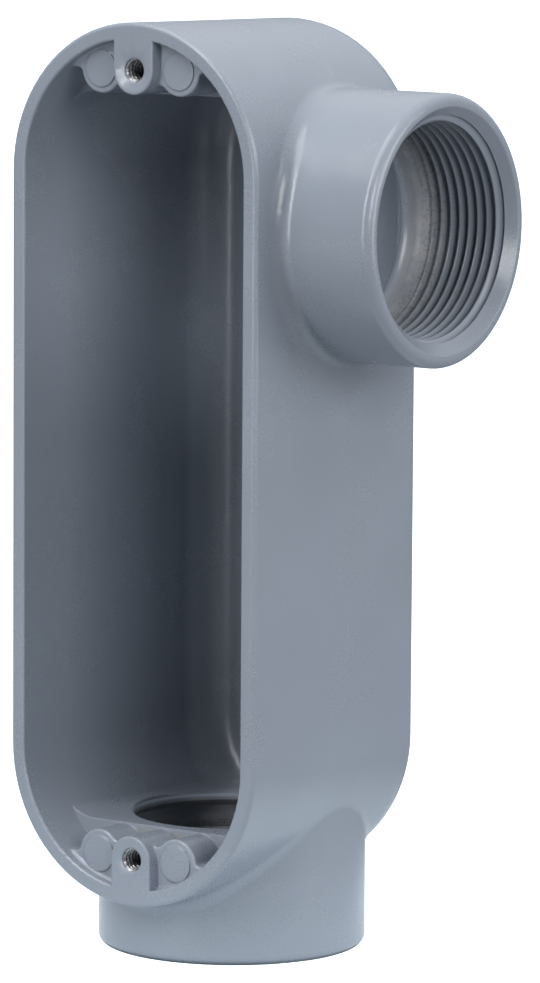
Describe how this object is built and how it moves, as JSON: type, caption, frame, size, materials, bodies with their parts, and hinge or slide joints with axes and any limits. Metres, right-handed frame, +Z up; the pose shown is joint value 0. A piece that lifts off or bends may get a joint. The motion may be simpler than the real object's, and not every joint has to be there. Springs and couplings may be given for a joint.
{
  "type": "conduit body",
  "caption": "Cast conduit body with a long round-ended opening for a screwed cover, a threaded hub out of its bottom end and another out of its right side near the top.",
  "frame": {"origin": "centre of the bottom hub's end face", "axes": "+Z up the long axis, away from the bottom hub; +X out of the side hub; -Y out of the cover opening, so +Y points through the flat back"},
  "size_m": [0.0834, 0.0638, 0.191],
  "materials": {
    "painted_casting": "semi-gloss bluish grey coating over die-cast aluminium"
  },
  "bodies": {
    "root": {"conduit_body": "painted_casting"}
  },
  "joints": []
}
